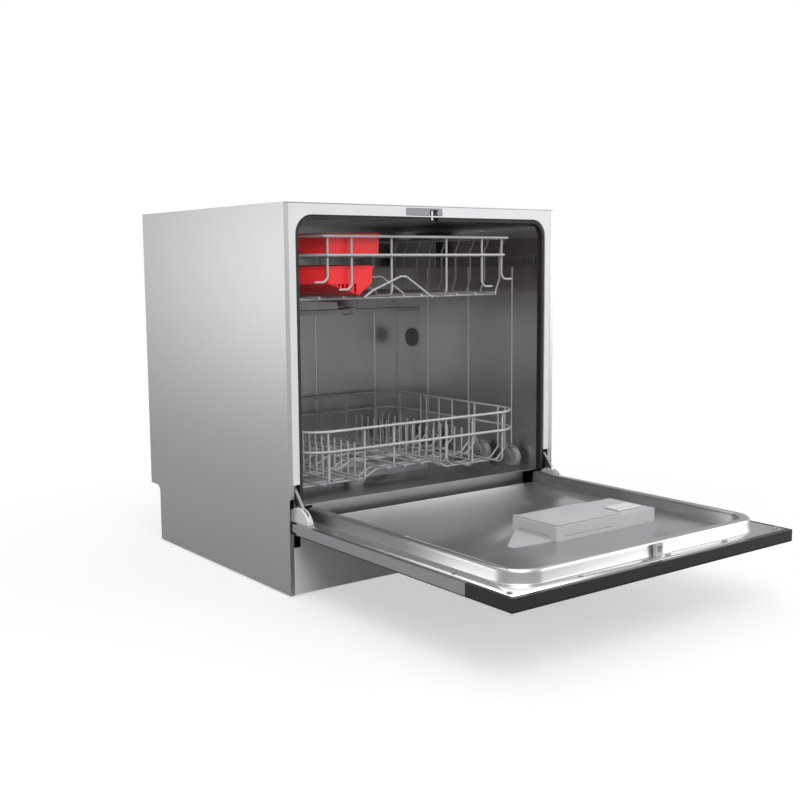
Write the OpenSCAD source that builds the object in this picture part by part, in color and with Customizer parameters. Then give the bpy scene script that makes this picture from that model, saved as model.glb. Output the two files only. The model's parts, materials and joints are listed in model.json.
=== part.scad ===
// Countertop dishwasher, drawn at rest: door folded down flat, both racks pushed in.
// X to the right, Y to the back, Z up; the front plane of the cabinet is Y = 0, the floor is Z = 0.

/* [Cabinet] */
// Width over the side panels
cab_w = 600; // [580:1:620]
// Depth from the front plane to the back panel
cab_d = 540; // [530:1:560]
// Height over the top panel
cab_h = 650; // [640:1:670]
// Thickness of the folded panels
sheet = 1.5; // [1:0.1:2]
// Depth of the rear notch for hoses
notch_d = 40; // [35:1:50]
// Height of the rear notch for hoses
notch_h = 112; // [100:1:116]

/* [Door] */
// Height of the hinge axis over the floor
hinge_z = 118.5; // [117:0.5:122]
// Distance of the hinge axis in front of the cabinet
hinge_out = 11.5; // [11:0.5:12.5]
// Thickness of the door between outer panel and inner flange
door_t = 19; // [18.6:0.1:19.4]
// Height of the liner rim over the inner flange
rim_h = 20; // [18:0.5:20.5]
// Width of the top of the liner rim
rim_w = 22; // [18:0.5:24]
// Width of the glossy side strips
strip_w = 8; // [6:0.5:8]

/* [Racks] */
// Radius of the thin wires
wire_r = 2; // [1.8:0.1:2.2]
// Radius of the rim wires
rail_r = 2.5; // [2.3:0.1:2.7]
// Room behind the racks when they are pushed in
rack_room = 19; // [17:1:25]
// Height of the rim wire of the lower rack over the wheel track
lower_rim = 117; // [110:1:125]
// Height of the second wire of the lower rack under the rim wire
lower_mid = 35; // [30:1:40]
// Radius of the lower rack wheels
wheel_r = 18.5; // [17.5:0.1:18.5]
// Width of the lower rack wheels
wheel_w = 13; // [11:0.5:13]
// Radius of the wheel axles
axle_r = 3; // [2.5:0.1:3.5]
// Radius of the side rollers of the upper rack
roller_r = 8; // [7.5:0.1:8.5]
// Drop of the rim wire of the upper rack under the cabinet top
upper_drop = 53; // [50:1:58]

/* [Washing] */
// Reach of the lower spray arm
lower_reach = 185; // [160:1:200]
// Reach of the middle spray arm
middle_reach = 172; // [150:1:180]
// Radius of the sump hole
sump_r = 60; // [55:1:62]

/* [Hidden] */

gap = 0.3;               // between pieces that are fixed to one another
run = 0.05;              // radial clearance of a turning fit
hw = cab_w / 2;          // half of the cabinet width
inner_hw = hw - sheet - gap;
tub_hw = hw - 22;        // inside of the tub and of the front opening
tub_top = cab_h - 21;    // underside of the tub ceiling
tub_sheet = 1;
corner_r = 32;           // top corners of the opening and of the tub
mouth_y = 20.7;          // where the tub starts behind the front plane
tub_back_y = cab_d - 61;
rim_hw = tub_hw - 10;    // outer half width of the rim of the door liner
rim_top = hinge_z + door_t / 2 + rim_h;
track_z = rim_top;       // the wheels run on the rim and on the ledges of the tub
post_z = hinge_z + 69.8; // foot of the front posts
flange_z = hinge_z + door_t / 2;
panel_z = hinge_z - door_t / 2;
door_root = 6;           // the door starts this far in front of the cabinet
door_reach = cab_h - 3 - hinge_z + hinge_out;
skin = 1.2;              // outer skin and inner flange of the door
strip_x = hw - strip_w;
arm_x = hw - 17.7;       // inner face of the hinge arms
arm_t = 4.9;
cover_r = 34;
cap_y = door_reach - 92; // where the end cap starts on the sides
rack_y = 30;             // front of both racks when they are pushed in
rack_back = tub_back_y - rack_room;
along_rack = (rack_back - rack_y) / 430;   // places along the racks are for this depth
rack_hw = tub_hw - 28;   // centre line of the rim wires
cross = wire_r * 1.7;    // offset of two wires welded across each other
rim_z = track_z + lower_rim;
mid_z = rim_z - lower_mid;
bend = 12;               // bends of the wires
floor_z = track_z + 20;  // floor wires of the lower rack
hump_z = floor_z + 14;   // raised middle of the lower floor
up_z = cab_h - upper_drop;
up_mid = up_z - 32;
up_low = up_z - 107.4;   // lowest cross wires of the upper rack
wheel_z = track_z + wheel_r + gap;
wheel_x = rim_hw - 1.6 - wheel_w;
roller_z = up_z - 45;
sump_at = [100, tub_back_y - 149];
arm_y = (mouth_y + tub_back_y) / 2;
floor_top = track_z - 32;
lane = rack_hw * [0.24, 0.496, 0.8];   // front wires of the lower rack
side_at = along_rack * [48, 68, 140, 158, 212, 256, 299, 320, 395];
toe_x = rack_hw - 28;    // the floor wires end here and the side wires turn in to meet them
up_side = along_rack * [56, 100.4, 143.5, 189.6, 234.7, 276.5, 320, 364, 399];

// a box given by two corners
module block(a, b) {
  translate(a) cube(b - a);
}

// the same shape on the left and on the right
module both() {
  children();
  mirror([1, 0, 0]) children();
}

// an outline in Y and Z, drawn out along X
module along_x(x, len) {
  translate([x, 0, 0]) rotate([90, 0, 90]) linear_extrude(len) children();
}

// an outline in X and Z, drawn out along Y
module along_y(y, len) {
  translate([0, y + len, 0]) rotate([90, 0, 0]) linear_extrude(len) children();
}

// an outline in X and Y, drawn out along Z
module along_z(z, len) {
  translate([0, 0, z]) linear_extrude(len) children();
}

// a rectangle with round corners between two corners
module soft_rect(a, b, r) {
  translate([a[0] + r, a[1]]) square([b[0] - a[0] - 2 * r, b[1] - a[1]]);
  translate([a[0], a[1] + r]) square([b[0] - a[0], b[1] - a[1] - 2 * r]);
  for (x = [a[0] + r, b[0] - r], y = [a[1] + r, b[1] - r])
    translate([x, y]) circle(r = r, $fn = 48);
}

// a shape open at the foot with two round top corners, half width w
module arch(w, foot, top, r) {
  translate([-w, foot]) square([2 * w, top - r - foot]);
  translate([r - w, foot]) square([2 * (w - r), top - foot]);
  for (x = [r - w, w - r])
    translate([x, top - r]) circle(r = r, $fn = 48);
}

// a cylinder along X
module bar_x(x, y, z, r, len) {
  translate([x, y, z]) rotate([0, 90, 0]) cylinder(h = len, r = r, $fn = 48);
}

// a cylinder along Y
module bar_y(x, y, z, r, len) {
  translate([x, y, z]) rotate([-90, 0, 0]) cylinder(h = len, r = r, $fn = 48);
}

// a straight wire between two points
module rod(a, b, r = wire_r) {
  d = b - a;
  len = norm(d);
  translate(a) rotate([0, acos(d[2] / len), atan2(d[1], d[0])]) cylinder(h = len, r = r, $fn = 24);
}

function unit(v) = v / norm(v);

// a wire through points: right angles are round bends, other bends are knuckles
module wire(points, r = wire_r, bend_r = bend) {
  last = len(points) - 1;
  way = [for (i = [0 : last - 1]) unit(points[i + 1] - points[i])];
  turn = [for (i = [0 : last]) (i == 0 || i == last) ? 0 : acos(way[i - 1] * way[i])];
  trim = [for (t = turn) abs(t - 90) < 0.01 ? bend_r : 0];
  for (i = [0 : last - 1])
    rod(points[i] + way[i] * trim[i], points[i + 1] - way[i] * trim[i + 1], r);
  for (i = [1 : last - 1])
    if (trim[i] > 0)
      elbow(points[i] - way[i - 1] * bend_r + way[i] * bend_r, way[i - 1], way[i], r, bend_r);
    else
      translate(points[i]) sphere(r = r / cos(turn[i] / 2) + 0.12, $fn = 24);
}

// a quarter bend about a centre, from the direction u into the direction n
module elbow(c, u, n, r, bend_r) {
  w = cross(u, n);
  multmatrix([[-n[0], u[0], -w[0], c[0]], [-n[1], u[1], -w[1], c[1]], [-n[2], u[2], -w[2], c[2]], [0, 0, 0, 1]])
    rotate_extrude(angle = 90, $fn = 48) translate([bend_r, 0]) circle(r = r, $fn = 24);
}

// ---- cabinet ----

module side_panel() {
  difference() {
    union() {
      along_x(hw - sheet, sheet) translate([0, 2]) square([cab_d, cab_h - 2]);
      block([strip_x, 0, 2], [hw, sheet, cab_h - sheet - gap]);
    }
    along_x(hw - sheet - 1, sheet + 2)
      soft_rect([cab_d - notch_d, -60], [cab_d + 60, notch_h], 14);
    block([hw - 20, -1, panel_z - 2], [hw - sheet, sheet + 1, post_z]);
  }
}

module side_panel_left() {
  color("silver") mirror([1, 0, 0]) side_panel();
}

module side_panel_right() {
  color("silver") side_panel();
}

module top_panel() {
  color("gainsboro") block([-inner_hw, 0, cab_h - sheet], [inner_hw, cab_d, cab_h]);
}

module back_panel() {
  z1 = notch_h + gap;
  y1 = cab_d - notch_d - gap;
  top = cab_h - sheet - gap;
  color("gray") difference() {
    along_x(-inner_hw, 2 * inner_hw) polygon([[cab_d, top], [cab_d - sheet, top], [cab_d - sheet, z1 + sheet],
      [y1 - sheet, z1 + sheet], [y1 - sheet, 10], [y1, 10], [y1, z1], [cab_d, z1]]);
    for (hole = [[150, 16], [210, 13]])
      bar_y(hole[0], y1 - 20, 60, hole[1], 40);
    block([-205, y1 - 20, 44], [-155, y1 + 20, 76]);
  }
}

module base_pan() {
  y1 = cab_d - notch_d - gap - sheet - gap;
  color("dimgray") union() {
    block([-inner_hw, sheet + gap, 6], [inner_hw, y1, 8]);
    both() block([inner_hw - 2, sheet + gap, 6], [inner_hw, y1, 30]);
    both() for (y = [60, 400])
      translate([tub_hw - 46, y, 7]) cylinder(h = floor_top - 19 - gap, r = 10, $fn = 48);
  }
}

module feet() {
  color("black") both() for (y = [40, cab_d - notch_d - 40])
    translate([hw - 35, y, 0]) cylinder(h = 5.7, r = 16, $fn = 48);
}

module toe_kick() {
  top = hinge_z - 13.5;
  step_x = arm_x - 3.5;
  color("gainsboro") union() {
    block([-step_x, 0, 3], [step_x, sheet, top]);
    both() block([step_x - 1, 0, 3], [strip_x - gap, sheet, hinge_z - cover_r - 1.5]);
    block([-step_x, sheet - 0.5, 3], [step_x, 14, 3 + sheet]);
  }
}

latch_x = [-54, 26];
latch_z = [cab_h - 17, cab_h - 5];

module front_frame() {
  w = strip_x - gap;
  top = cab_h - sheet - gap;
  color("gainsboro") difference() {
    union() {
      along_y(0, sheet) difference() {
        translate([-w, post_z]) square([2 * w, top - post_z]);
        arch(tub_hw + gap, 0, tub_top + 1 + gap, corner_r);
      }
      along_y(sheet / 2, 14) difference() {
        arch(tub_hw + gap + sheet, post_z, tub_top + 1 + gap + sheet, corner_r + sheet);
        arch(tub_hw + gap, 0, tub_top + 1 + gap, corner_r);
      }
    }
    block([latch_x[0] - gap, -1, latch_z[0] - gap], [latch_x[1] + gap, 60, latch_z[1] + gap]);
    block([-4, 2, tub_top - 5], [18, 60, latch_z[0]]);
  }
}

rib_y = tub_back_y * [0.194, 0.474, 0.758];   // upright ribs of the tub's sides
module tub_wrap() {
  color("slategray") difference() {
    union() {
      along_y(mouth_y, tub_back_y + 1 - mouth_y) difference() {
        arch(tub_hw + tub_sheet, track_z + gap, tub_top + tub_sheet, corner_r + tub_sheet);
        arch(tub_hw, 0, tub_top, corner_r);
      }
      both() for (y = rib_y)
        along_z(track_z + 22, up_z - 60 - track_z) translate([tub_hw, y]) circle(r = 2.2, $fn = 32);
    }
    block([-2, 0, tub_top - 5], [16, 52, tub_top + 5]);
    both() for (y = rib_y)
      block([tub_hw + tub_sheet, y - 4, 0], [tub_hw + 20, y + 4, cab_h]);
  }
}

module tub_back() {
  color("slategray") union() {
    along_y(tub_back_y, tub_sheet) arch(tub_hw - gap, track_z + gap, tub_top - gap, corner_r - gap);
    for (x = [-218, -62, 62, 218])
      along_z(track_z + 30, up_z - 49 - track_z) translate([x, tub_back_y]) circle(r = 3, $fn = 32);
  }
}

module tub_base() {
  y0 = mouth_y;
  y1 = tub_back_y + 1;
  ledge = tub_hw - 38;
  color("slategray") difference() {
    block([-tub_hw - tub_sheet, y0, floor_top - 12], [tub_hw + tub_sheet, y1, track_z]);
    both() block([ledge + 2, y0 - 1, floor_top - 13], [tub_hw + 5, y1 + 1, track_z - 2]);
    block([-ledge, y0 + 2, floor_top], [ledge, y1 - 2, track_z + 1]);
    translate([sump_at[0], sump_at[1], floor_top - 7]) cylinder(h = 7.01, r1 = 70, r2 = 118, $fn = 96);
    translate([sump_at[0], sump_at[1], floor_top - 20]) cylinder(h = 40, r = sump_r, $fn = 96);
    translate([-sump_at[0] - 20, sump_at[1], floor_top - 20]) cylinder(h = 40, r = 27, $fn = 64);
    translate([0, arm_y, floor_top - 20]) cylinder(h = 40, r = 12, $fn = 48);
    translate([0, tub_back_y - 9, floor_top - 20]) cylinder(h = 40, r = 7.3, $fn = 48);
  }
}

module door_seal() {
  color("black") difference() {
    along_y(2, 12) difference() {
      arch(tub_hw - gap, track_z + 2, tub_top + 1 - gap, corner_r - gap);
      arch(rim_hw + 3.5, 0, tub_top - 5.5, corner_r - 7);
    }
    block([-4, 0, tub_top - 12], [18, 60, tub_top + 5]);
  }
}

module latch_housing() {
  color("gray") difference() {
    block([latch_x[0], -0.5, latch_z[0]], [latch_x[1], 52, latch_z[1]]);
    block([latch_x[0] + 2, 1, latch_z[0] + 2], [-4, 50, latch_z[1] + 1]);
    block([-1.5, -1, latch_z[0] - 1], [15.5, 50, latch_z[1] - 2]);
    block([18, 1, latch_z[0] + 2], [latch_x[1] - 2, 50, latch_z[1] + 1]);
    bar_x(-10, 43, latch_z[0] + 5.5, 1.5 + run, 40);
  }
}

module latch_hook() {
  z = latch_z[0];
  color("dimgray") union() {
    bar_x(-3.5, 43, z + 5.5, 1.5, 21);
    block([5, 5, z + 2], [9, 44, z + 9]);
    block([5, 5, z - 7.4], [9, 10, z + 3]);
  }
}

module hinge_brackets() {
  color("dimgray") both() union() {
    along_x(hw - 7, 3.5) union() {
      translate([-hinge_out, hinge_z]) circle(r = 7, $fn = 48);
      translate([-hinge_out, hinge_z - 6]) square([60, 12]);
    }
    block([hw - 7, 6, hinge_z - 16], [inner_hw, 70, hinge_z + 16]);
    block([arm_x + arm_t + 2.4, gap, hinge_z + 46], [inner_hw, 24, post_z - gap]);
    bar_x(arm_x - 0.5, -hinge_out, hinge_z, 4, hw - 6 - arm_x);
  }
}

rail_x = rack_hw + 8.5;

module upper_rails() {
  z = roller_z;
  h = roller_r + 0.15;
  color("lightgray") both() along_y(mouth_y + 4, tub_back_y - mouth_y - 10) union() {
    translate([rail_x, z - h - 2]) square([16, 2]);
    translate([rail_x, z + h]) square([16, 2]);
    translate([rail_x + 14, z - h - 2]) square([2, 2 * h + 4]);
  }
  color("lightgray") both() for (y = [50, 260, 440])
    block([rail_x + 15, y, z - 6], [tub_hw - gap, y + 20, z + 6]);
}

module sump() {
  color("dimgray") translate([sump_at[0], sump_at[1], 0]) difference() {
    translate([0, 0, floor_top - 58]) cylinder(h = 58 - 12 - gap, r = sump_r + 4, $fn = 96);
    translate([0, 0, floor_top - 55]) cylinder(h = 60, r = sump_r, $fn = 96);
  }
}

module flat_filter() {
  color("silver") translate([sump_at[0], sump_at[1], floor_top - 10]) difference() {
    cylinder(h = 2, r = sump_r - gap, $fn = 96);
    translate([0, 0, -1]) cylinder(h = 4, r = 29, $fn = 64);
    for (ring = [37, 44, 51], a = [0 : 15 : 345])
      rotate([0, 0, a]) translate([ring, 0, -1]) cylinder(h = 4, r = 1.6, $fn = 16);
  }
}

module coarse_filter() {
  color("gray") translate([sump_at[0], sump_at[1], floor_top - 50]) union() {
    difference() {
      cylinder(h = 52, r = 28, $fn = 64);
      translate([0, 0, 2]) cylinder(h = 51, r = 25, $fn = 64);
    }
    translate([-27, -3, 40]) cube([54, 6, 22]);
  }
}

module salt_cap() {
  color("gray") translate([-sump_at[0] - 20, sump_at[1], floor_top - 14]) union() {
    cylinder(h = 16, r = 26.9, $fn = 64);
    translate([0, 0, 14 + gap]) cylinder(h = 4, r = 31, $fn = 64);
    translate([-22, -3, 17]) cube([44, 6, 8]);
  }
}

module wash_pump() {
  color("black") translate([-150, 200, 52]) union() {
    rotate([0, 90, 0]) cylinder(h = 110, r = 34, $fn = 64);
    translate([100, 0, 0]) rotate([0, 90, 0]) cylinder(h = 26, r = 42, $fn = 64);
    translate([20, -30, -43.7]) cube([60, 60, 20]);
  }
}

module drain_pump() {
  color("black") translate([190, 180, 45]) union() {
    cylinder(h = 34, r = 28, $fn = 64);
    translate([0, 0, -36.7]) cylinder(h = 37, r = 22, $fn = 64);
  }
}

module inlet_valve() {
  y = cab_d - notch_d;
  color("steelblue") difference() {
    union() {
      bar_y(150, y - 60, 60, 13, 86);
      bar_y(150, y - 60, 60, 15.6, 62);
      block([132, y - 90, 34], [168, y - 45, 86]);
    }
    bar_y(150, y - 40, 60, 8, 80);
  }
}

module drain_spigot() {
  y = cab_d - notch_d;
  color("dimgray") difference() {
    union() {
      bar_y(210, y - 40, 60, 10, 72);
      bar_y(210, y - 40, 60, 12.6, 42);
    }
    bar_y(210, y - 41, 60, 7.5, 80);
  }
}

module mains_inlet() {
  y = cab_d - notch_d;
  color("black") union() {
    difference() {
      block([-204.6, y - 34, 44.4], [-155.4, y + 3, 75.6]);
      block([-200, y - 26, 49], [-160, y + 4, 71]);
    }
    for (x = [-189, -180, -171])
      block([x - 2, y - 27, 57], [x + 2, y - 9, 63]);
  }
}

feed_z = up_low - 9.6;
hub_y = rack_y + 232 * along_rack;   // hub of the middle spray arm

module feed_pipe() {
  y = tub_back_y - 9;
  color("gray") union() {
    translate([0, y, floor_top - 30]) cylinder(h = feed_z - floor_top + 30, r = 7, $fn = 48);
    translate([0, y, feed_z - 9]) cylinder(h = 18, r = 8.2, $fn = 48);
    block([-12, y + 4, 300], [12, tub_back_y - gap, 306]);
    block([-12, y + 4, 200], [12, tub_back_y - gap, 206]);
  }
}

module vent_cap() {
  y = tub_back_y - 59;
  color("gray") difference() {
    bar_x(tub_hw - 4 - gap, y, 387, 20, 4);
    for (z = [375 : 6 : 399])
      block([tub_hw - 6, y - 12, z - 1.2], [tub_hw - 3, y + 12, z + 1.2]);
  }
}

module arm_post() {
  color("gray") translate([0, arm_y, 0]) union() {
    translate([0, 0, floor_top + gap]) cylinder(h = 14, r = 20, $fn = 64);
    translate([0, 0, floor_top - 24]) cylinder(h = 38, r = 11.7, $fn = 64);
    translate([0, 0, floor_top]) cylinder(h = 33, r = 8, $fn = 48);
  }
}

// a flat spray arm with nozzles, from its centre
module spray_blade(reach, wide, thick, bore) {
  difference() {
    union() {
      along_z(0, thick) soft_rect([-reach, -wide], [reach, wide], wide - 0.5);
      cylinder(h = thick + 3, r = wide + 3, $fn = 64);
    }
    translate([0, 0, -1]) cylinder(h = thick + 6, r = bore, $fn = 48);
    for (s = [-1, 1], k = [0.3 : 0.2 : 0.9])
      translate([s * k * reach, (k - 0.6) * wide, thick - 1.5]) cylinder(h = 3, r = 2, $fn = 16);
  }
}

module lower_arm() {
  color("gray") translate([0, arm_y, floor_top + 15]) spray_blade(lower_reach, 20, 12, 8 + run);
}

module arm_feed() {
  y = hub_y;
  color("gray") union() {
    translate([0, y, feed_z - 12]) cylinder(h = 12 + 9.6 - wire_r - gap, r = 21, $fn = 64);
    translate([0, y, feed_z - 27]) cylinder(h = 16, r = 7, $fn = 48);
    translate([0, y, feed_z - 29]) cylinder(h = 3, r = 11, $fn = 48);
    bar_y(0, y + 10, feed_z, 6, rack_back - y - 10);
  }
}

module middle_arm() {
  color("gray") translate([0, hub_y, feed_z - 25.7]) spray_blade(middle_reach, 17, 8, 7 + run);
}

// ---- door, folded down flat ----

module door_panel() {
  color("black") block([-hw, -door_reach, panel_z], [hw, -door_root, panel_z + skin]);
}

module door_strips() {
  color("dimgray") both()
    block([strip_x, gap - cap_y, panel_z + skin + gap], [hw, -hinge_out - 8.5, flange_z]);
}

module door_end_cap() {
  z0 = panel_z + skin + gap;
  color("black") union() {
    block([-hw, -door_reach, z0], [hw, 8 - door_reach, flange_z]);
    both() block([strip_x, -door_reach, z0], [hw, -cap_y, flange_z]);
  }
}

rim_front = door_reach - 28;
box_x = [-50, 174];
box_y = [-367, -269];
box_z = rim_top + 2;
cup_x = [-43, 95];
cup_y = [-358, -278];

module rim_outline(inset, r) {
  difference() {
    soft_rect([inset - rim_hw, inset - rim_front], [rim_hw - inset, 80], r);
    translate([-hw, -2]) square([cab_w, 200]);
  }
}

module door_liner() {
  edge = strip_x - gap;
  color("lightgray") difference() {
    union() {
      block([-edge, 8 + gap - door_reach, flange_z - skin], [edge, -2, flange_z]);
      along_z(flange_z - skin, rim_h + skin) rim_outline(0, 52);
    }
    translate([0, 0, flange_z]) linear_extrude(rim_h + 1) rim_outline_inner();
    both() block([arm_x - 2, -48, 0], [hw, 10, cab_h]);
    both() along_z(rim_top - 1.5, 5) soft_rect([rim_hw - 13, -484], [rim_hw - 10, -256], 1.4);
    block([box_x[0] + 5.5, box_y[0] + 5.5, 0], [box_x[1] - 5.5, box_y[1] - 5.5, cab_h]);
  }
}

module rim_outline_inner() {
  soft_rect([rim_w - rim_hw, rim_w - rim_front], [rim_hw - rim_w, 80], 52 - rim_w);
}

module door_screws() {
  z = flange_z + gap;
  color("gray") both() {
    for (at = [[hw - 11, door_reach - 20], [159, door_reach - 20], [28, door_reach - 20], [hw - 14, door_reach - 135], [hw - 14, 111]])
      translate([at[0] - 3, -at[1], z]) cylinder(h = 1.6, r = 4, $fn = 32);
    for (y = [-50.5, -105.6])
      bar_x(rim_hw - rim_w - 1.6 - gap, y, flange_z + 10, 3.5, 1.6);
  }
}

module hinge_arms() {
  y = -hinge_out;
  z0 = panel_z + skin + gap;
  z1 = flange_z - skin - gap;
  color("gray") both() difference() {
    along_x(arm_x, arm_t) union() {
      polygon([[y - 48, z0], [y + 7.5, z0], [y + 9, hinge_z], [y + 11, hinge_z + 34],
        [y + 28.5, hinge_z + 60.5], [y + 19.5, hinge_z + 66.5], [y - 7, hinge_z + 36], [y - 14, z1], [y - 48, z1]]);
    }
    bar_x(arm_x - 1, y, hinge_z, 4 + run, arm_t + 2);
  }
}

module hinge_covers() {
  x0 = arm_x - 1.8;
  color("white") both() difference() {
    bar_x(x0, -hinge_out, hinge_z, cover_r, strip_x - 0.5 - x0);
    block([0, -100, 0], [hw, 100, flange_z - skin]);
    block([arm_x - gap, -36, 0], [arm_x + arm_t + gap, 8, cab_h]);
  }
}

module door_keeper() {
  color("gray") difference() {
    block([0, -rim_front - 5.4, flange_z + gap], [15.5, -rim_front - gap, rim_top - 1]);
    block([2.5, -rim_front - 6, flange_z + 5.5], [12.5, -rim_front - 2, flange_z + 15]);
  }
}

module dispenser_body() {
  color("lightgray") difference() {
    union() {
      block([box_x[0], box_y[0], flange_z + gap], [box_x[1], box_y[1], box_z]);
      block([box_x[0] + 6, box_y[0] + 6, panel_z + 3], [box_x[1] - 6, box_y[1] - 6, flange_z + 1]);
      along_y(box_y[0] + 6, box_y[1] - box_y[0] - 12) polygon([[box_x[0] - 88, flange_z + gap],
        [box_x[0] + 1, flange_z + gap], [box_x[0] + 1, flange_z + 13], [box_x[0] - 88, flange_z + 3]]);
      for (x = [cup_x[0] - 7, cup_x[1] + 3.6])
        block([x, box_y[1] - 5.5, box_z - 1], [x + 3.4, box_y[1] - 0.5, box_z + 3.2]);
    }
    block([cup_x[0], cup_y[0], flange_z - 10], [cup_x[1], cup_y[1], box_z + 1]);
    bar_x(cup_x[0] - 6, box_y[1] - 3, box_z + 1.4, 0.7 + run, cup_x[1] - cup_x[0] + 12);
  }
}

module dispenser_lid() {
  y = box_y[1] - 3;
  color("white") union() {
    block([cup_x[0] - 3, cup_y[0] - 4, box_z + gap], [cup_x[1] + 3, y, box_z + 2.5]);
    bar_x(cup_x[0] - 3, y, box_z + 1.4, 1.1, cup_x[1] - cup_x[0] + 6);
    bar_x(cup_x[0] - 5.5, y, box_z + 1.4, 0.7, cup_x[1] - cup_x[0] + 11);
  }
}

module rinse_lever() {
  color("white") union() {
    block([107, -349, box_z + gap], [162, -317, box_z + 3]);
    block([112, -345, box_z + 2], [157, -339, box_z + 5]);
  }
}

// ---- lower rack, pushed in ----

front_y = rack_y + cross;
back_y = rack_back - cross;
side_x = rack_hw - cross;
side_foot = floor_z + 28;

hump_foot = rack_hw * 0.384;   // the floor wires start to rise here
hump_top = rack_hw * 0.272;    // and run level again from here
function low_z(x) = abs(x) < (hump_foot + hump_top) / 2 ? hump_z : floor_z;

module lower_floor() {
  y0 = front_y + 20 + gap;
  color("lightgray") union() {
    for (x = concat(-lane, lane, [-20, 20]))
      rod([x, y0, low_z(x)], [x, back_y - 20 - gap, low_z(x)]);
    for (k = side_at) {
      y = rack_y + k;
      z = floor_z - cross;
      wire([[gap - toe_x, y, z], [-hump_foot, y, z], [-hump_top, y, hump_z - cross], [hump_top, y, hump_z - cross],
        [hump_foot, y, z], [toe_x - gap, y, z]]);
    }
  }
}

// one end of the lower rack: two rims with bent ends, and upright wires that turn under the floor
module lower_end(y, inward, corner) {
  for (z = [rim_z, mid_z])
    wire([[-rack_hw, y + inward * (corner + 2), z], [-rack_hw, y, z], [rack_hw, y, z],
      [rack_hw, y + inward * (corner + 2), z]], rail_r, corner);
  for (x = concat(-lane, lane))
    wire([[x, y + inward * cross, rim_z], [x, y + inward * cross, low_z(x)],
      [x, y + inward * (cross + 20), low_z(x)]]);
}

module lower_front() {
  color("lightgray") lower_end(rack_y, 1, 60);
}

module lower_back() {
  color("lightgray") lower_end(rack_back, -1, 20);
}

module lower_sides() {
  color("lightgray") both() union() {
    for (z = [rim_z, mid_z])
      rod([rack_hw, rack_y + 62 + gap, z], [rack_hw, rack_back - 22 - gap, z], rail_r);
    for (k = side_at) {
      y = rack_y + k;
      wire([[side_x, y, rim_z], [side_x, y, side_foot - 12], [toe_x + 4, y, floor_z - cross],
        [toe_x, y, floor_z - cross]]);
    }
  }
}

module lower_tines() {
  tine_r = wire_r - 0.3;
  z = floor_z - cross + 2 * wire_r + gap;
  color("lightgray") both() for (x = rack_hw * [0.432, 0.648]) union() {
    rod([x, rack_y + 44, z], [x, rack_back - 34, z]);
    for (y = [rack_y + 58 : 22 : rack_back - 44])
      rod([x, y, z], [x, y, floor_z + 62], tine_r);
  }
}

wheel_at = along_rack * [39, 128, 286, 380];

module wheel_brackets() {
  x = side_x + wire_r + gap;
  color("gray") both() for (k = wheel_at) {
    y = rack_y + k;
    union() {
      along_x(x, wheel_x - 0.6 - x) polygon([[y - 8, wheel_z - 9], [y + 8, wheel_z - 9], [y + 32, side_foot - 12],
        [y + 32, side_foot + 2], [y - 6, side_foot + 2], [y - 12, wheel_z + 8]]);
      block([x, y - 7, wheel_z + wheel_r + 1.2], [wheel_x + wheel_w, y + 7, wheel_z + wheel_r + 3.4]);
      bar_x(x + 1, y, wheel_z, axle_r, wheel_x + wheel_w - x - 1.6);
    }
  }
}

module wheel_pair(k) {
  color("dimgray") both() translate([wheel_x, rack_y + k, wheel_z]) rotate([0, 90, 0]) difference() {
    cylinder(h = wheel_w, r = wheel_r, $fn = 96);
    translate([0, 0, -1]) cylinder(h = wheel_w + 2, r = axle_r + run, $fn = 48);
    translate([0, 0, wheel_w - 2]) difference() {
      cylinder(h = 3, r = wheel_r - 4, $fn = 64);
      cylinder(h = 3, r = 8, $fn = 48);
    }
    for (a = [0 : 45 : 315])
      rotate([0, 0, a]) translate([11, 0, -1]) cylinder(h = wheel_w + 2, r = 1.8, $fn = 16);
  }
}

module wheels_front() {
  wheel_pair(wheel_at[0]);
}

module wheels_second() {
  wheel_pair(wheel_at[1]);
}

module wheels_third() {
  wheel_pair(wheel_at[2]);
}

module wheels_rear() {
  wheel_pair(wheel_at[3]);
}

// ---- upper rack, pushed in ----

up_lane = rack_hw * [0.08, 0.248, 0.416, 0.6, 0.8];
up_turn = [[rack_hw * 0.588, 17], [rack_hw * 0.784, 30]];   // wires that turn aside, and how high
up_in = rack_hw - 12;      // side wires under the jog

module upper_floor() {
  color("lightgray") union() {
    for (x = concat(-up_lane, up_lane))
      rod([x, front_y + 20 + gap, up_low + cross], [x, back_y - 20 - gap, up_low + cross]);
    for (k = up_side) {
      y = rack_y + k;
      rod([gap - toe_x, y, up_low], [toe_x - gap, y, up_low]);
    }
  }
}

// upright wires at one end of the upper rack: the middle ones turn under the floor, the others aside
module upper_wires(y, inward) {
  at = y + inward * cross;
  for (x = [-up_lane[1], up_lane[1]])
    wire([[x, at, up_z], [x, at, up_low + cross], [x, at + inward * 20, up_low + cross]]);
  for (s = [-1, 1], turn = up_turn)
    wire([[s * turn[0], at, up_z], [s * turn[0], at, up_low + turn[1]],
      [s * (turn[0] + 26), at, up_low + turn[1]]]);
}

module upper_front() {
  color("lightgray") union() {
    for (rim = [[rack_hw, up_z], [up_in + cross, up_mid]]) {
      w = rim[0];
      z = rim[1];
      wire([[-w, rack_y + 70, z], [-w, rack_y + 56, z], [43 - w, rack_y, z], [w - 43, rack_y, z],
        [w, rack_y + 56, z], [w, rack_y + 70, z]], rail_r, 14);
    }
    upper_wires(rack_y, 1);
  }
}

module upper_back() {
  color("lightgray") union() {
    for (rim = [[rack_hw, up_z], [up_in + cross, up_mid]])
      wire([[-rim[0], rack_back - 22, rim[1]], [-rim[0], rack_back, rim[1]], [rim[0], rack_back, rim[1]],
        [rim[0], rack_back - 22, rim[1]]], rail_r, 20);
    upper_wires(rack_back, -1);
  }
}

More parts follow.
